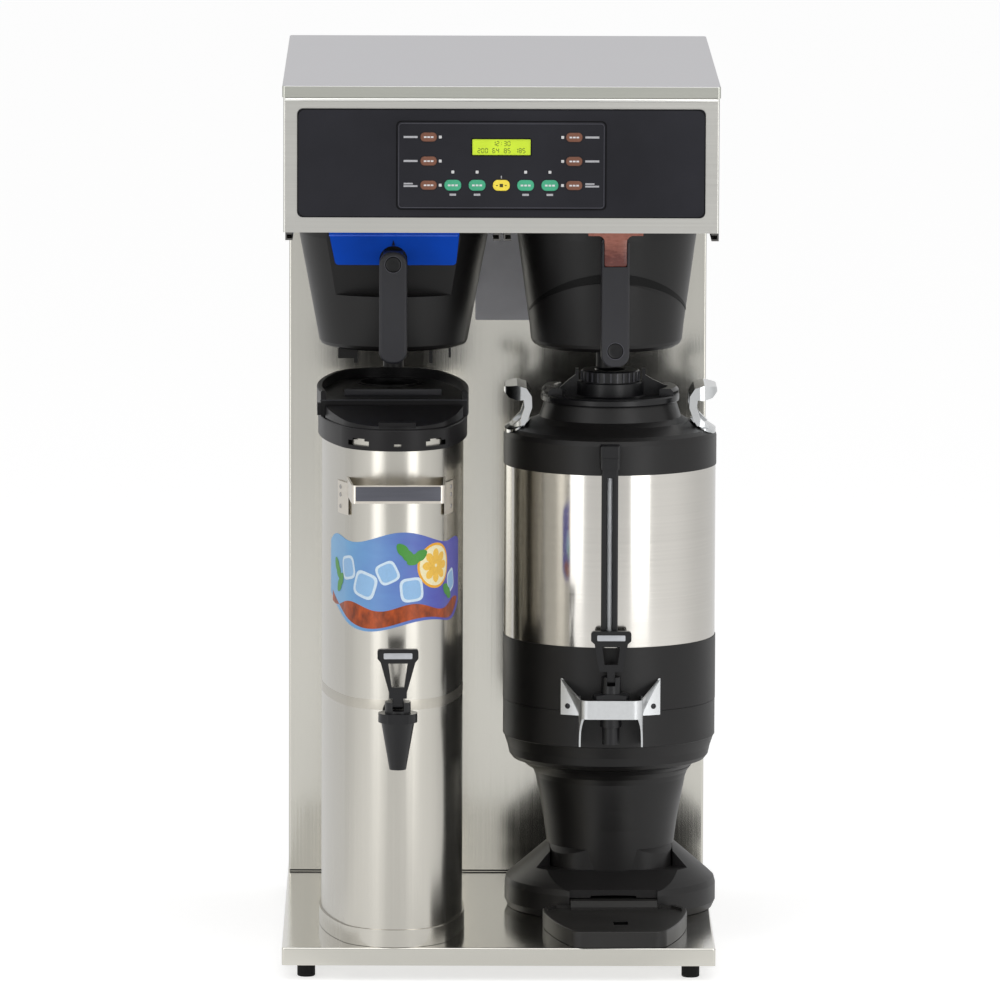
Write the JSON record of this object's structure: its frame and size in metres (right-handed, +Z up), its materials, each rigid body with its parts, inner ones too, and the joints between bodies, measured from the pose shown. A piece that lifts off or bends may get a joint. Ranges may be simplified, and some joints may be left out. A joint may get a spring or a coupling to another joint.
{
  "type": "iced tea maker",
  "caption": "Twin brewer with a hooded steel body, slide-in brew cones, an oval tea dispenser with a hinged lid flap and tap, and an insulated coffee urn on a pedestal.",
  "frame": {"origin": "on the counter under the middle of the whole machine, at the level of the feet's undersides", "axes": "+Z up, -Y towards the user at the front with the taps and keypad, +X to the user's right (the coffee side)"},
  "size_m": [0.4636, 0.6697, 0.947],
  "materials": {
    "stainless": "brushed satin",
    "foot_rubber": "matt",
    "panel_black": "satin overlay",
    "display_green": "lit window",
    "black_plastic": "satin",
    "heater_sheath": "plain",
    "tube_silicone": "matt",
    "board_green": "solder mask",
    "brass": "plain",
    "button_brown": "satin",
    "button_green": "satin",
    "button_yellow": "satin",
    "shield_blue": "satin",
    "wire_steel": "bright",
    "clip_brown": "satin",
    "polished_steel": "polished satin",
    "sight_glass": "clear",
    "grey_metal": "satin"
  },
  "bodies": {
    "machine": {"base_tray": "stainless", "feet": "foot_rubber", "back_panel": "stainless", "rear_cover": "stainless", "hood_shell": "stainless", "top_cover": "stainless", "hood_floor": "stainless", "control_panel": "panel_black", "keypad_bezel": "panel_black", "display_window": "display_green", "cone_rails": "stainless", "spray_heads": "black_plastic", "water_tank": "stainless", "tank_lid": "stainless", "heating_elements": "heater_sheath", "tank_probes": "heater_sheath", "solenoid_valves": "black_plastic", "water_tubes": "tube_silicone", "control_board": "board_green", "inlet_fitting": "brass", "cord_gland": "black_plastic"},
    "left_button_1_body": {"left_button_1": "button_brown"},
    "left_button_2_body": {"left_button_2": "button_brown"},
    "left_button_3_body": {"left_button_3": "button_brown"},
    "right_button_1_body": {"right_button_1": "button_brown"},
    "right_button_2_body": {"right_button_2": "button_brown"},
    "right_button_3_body": {"right_button_3": "button_brown"},
    "tea_button_1_body": {"tea_button_1": "button_green"},
    "tea_button_2_body": {"tea_button_2": "button_green"},
    "tea_button_3_body": {"tea_button_3": "button_green"},
    "tea_button_4_body": {"tea_button_4": "button_green"},
    "select_button_body": {"select_button": "button_yellow"},
    "tea_cone_body": {"tea_cone": "black_plastic", "tea_cone_insert": "shield_blue", "tea_cone_handle": "black_plastic", "tea_wire_basket": "wire_steel"},
    "coffee_cone_body": {"coffee_cone": "black_plastic", "coffee_cone_clip": "clip_brown", "coffee_cone_handle": "black_plastic", "coffee_wire_basket": "wire_steel"},
    "tea_dispenser": {"tea_tank": "stainless", "tea_tank_base_ring": "stainless", "tea_tank_rim": "black_plastic", "tea_tank_handle": "stainless", "tea_tap_body": "black_plastic", "tea_lid_cover": "black_plastic"},
    "tea_flap_body": {"tea_lid_flap": "black_plastic"},
    "tea_lever_body": {"tea_tap_lever": "black_plastic"},
    "coffee_urn": {"urn_shoulder": "black_plastic", "urn_flask": "polished_steel", "urn_lower_shell": "black_plastic", "urn_pedestal": "black_plastic", "gauge_guard": "black_plastic", "gauge_tube": "sight_glass", "urn_tap_body": "black_plastic", "tap_guard": "grey_metal", "carry_handles": "grey_metal"},
    "urn_lever_body": {"urn_tap_lever": "black_plastic"},
    "urn_lid_body": {"urn_lid": "black_plastic"},
    "drip_tray_body": {"drip_tray": "black_plastic"}
  },
  "joints": [
    {"name": "left_button_1_press", "type": "slide", "parent": "machine", "child": "left_button_1_body", "axis": [0, 1, 0], "range_m": [0, 0.0008], "stiffness_N_per_m": 400},
    {"name": "left_button_2_press", "type": "slide", "parent": "machine", "child": "left_button_2_body", "axis": [0, 1, 0], "range_m": [0, 0.0008], "stiffness_N_per_m": 400},
    {"name": "left_button_3_press", "type": "slide", "parent": "machine", "child": "left_button_3_body", "axis": [0, 1, 0], "range_m": [0, 0.0008], "stiffness_N_per_m": 400},
    {"name": "right_button_1_press", "type": "slide", "parent": "machine", "child": "right_button_1_body", "axis": [0, 1, 0], "range_m": [0, 0.0008], "stiffness_N_per_m": 400},
    {"name": "right_button_2_press", "type": "slide", "parent": "machine", "child": "right_button_2_body", "axis": [0, 1, 0], "range_m": [0, 0.0008], "stiffness_N_per_m": 400},
    {"name": "right_button_3_press", "type": "slide", "parent": "machine", "child": "right_button_3_body", "axis": [0, 1, 0], "range_m": [0, 0.0008], "stiffness_N_per_m": 400},
    {"name": "tea_button_1_press", "type": "slide", "parent": "machine", "child": "tea_button_1_body", "axis": [0, 1, 0], "range_m": [0, 0.0008], "stiffness_N_per_m": 400},
    {"name": "tea_button_2_press", "type": "slide", "parent": "machine", "child": "tea_button_2_body", "axis": [0, 1, 0], "range_m": [0, 0.0008], "stiffness_N_per_m": 400},
    {"name": "tea_button_3_press", "type": "slide", "parent": "machine", "child": "tea_button_3_body", "axis": [0, 1, 0], "range_m": [0, 0.0008], "stiffness_N_per_m": 400},
    {"name": "tea_button_4_press", "type": "slide", "parent": "machine", "child": "tea_button_4_body", "axis": [0, 1, 0], "range_m": [0, 0.0008], "stiffness_N_per_m": 400},
    {"name": "select_button_press", "type": "slide", "parent": "machine", "child": "select_button_body", "axis": [0, 1, 0], "range_m": [0, 0.0008], "stiffness_N_per_m": 400},
    {"name": "tea_cone_slide", "type": "slide", "parent": "machine", "child": "tea_cone_body", "axis": [0, -1, 0], "range_m": [0, 0.24]},
    {"name": "coffee_cone_slide", "type": "slide", "parent": "machine", "child": "coffee_cone_body", "axis": [0, -1, 0], "range_m": [0, 0.24]},
    {"name": "tea_dispenser_slide", "type": "slide", "parent": "machine", "child": "tea_dispenser", "axis": [0, -1, 0], "range_m": [0, 0.4]},
    {"name": "coffee_urn_slide", "type": "slide", "parent": "machine", "child": "coffee_urn", "axis": [0, -1, 0], "range_m": [0, 0.4]},
    {"name": "tea_flap_hinge", "type": "hinge", "parent": "tea_dispenser", "child": "tea_flap_body", "pos_m": [-0.11151, -0.16922, 0.592], "axis": [-0.9995, -0.0332, 0], "range_deg": [0, 85]},
    {"name": "tea_lever_hinge", "type": "hinge", "parent": "tea_dispenser", "child": "tea_lever_body", "pos_m": [-0.1066, -0.31714, 0.3], "axis": [0.9995, 0.0332, 0], "range_deg": [0, 30], "stiffness_Nm_per_rad": 0.3, "springref_deg": -5.73},
    {"name": "urn_lever_hinge", "type": "hinge", "parent": "coffee_urn", "child": "urn_lever_body", "pos_m": [0.1195, -0.13625, 0.2993], "axis": [1, 0, 0], "range_deg": [0, 30], "stiffness_Nm_per_rad": 0.3, "springref_deg": -5.73},
    {"name": "urn_lid_twist", "type": "hinge", "parent": "coffee_urn", "child": "urn_lid_body", "pos_m": [0.1195, -0.00525, 0.59], "axis": [0, 0, 1], "range_deg": [0, 60]},
    {"name": "drip_tray_slide", "type": "slide", "parent": "coffee_urn", "child": "drip_tray_body", "axis": [0.0227, -0.9997, 0], "range_m": [0, 0.06]}
  ]
}
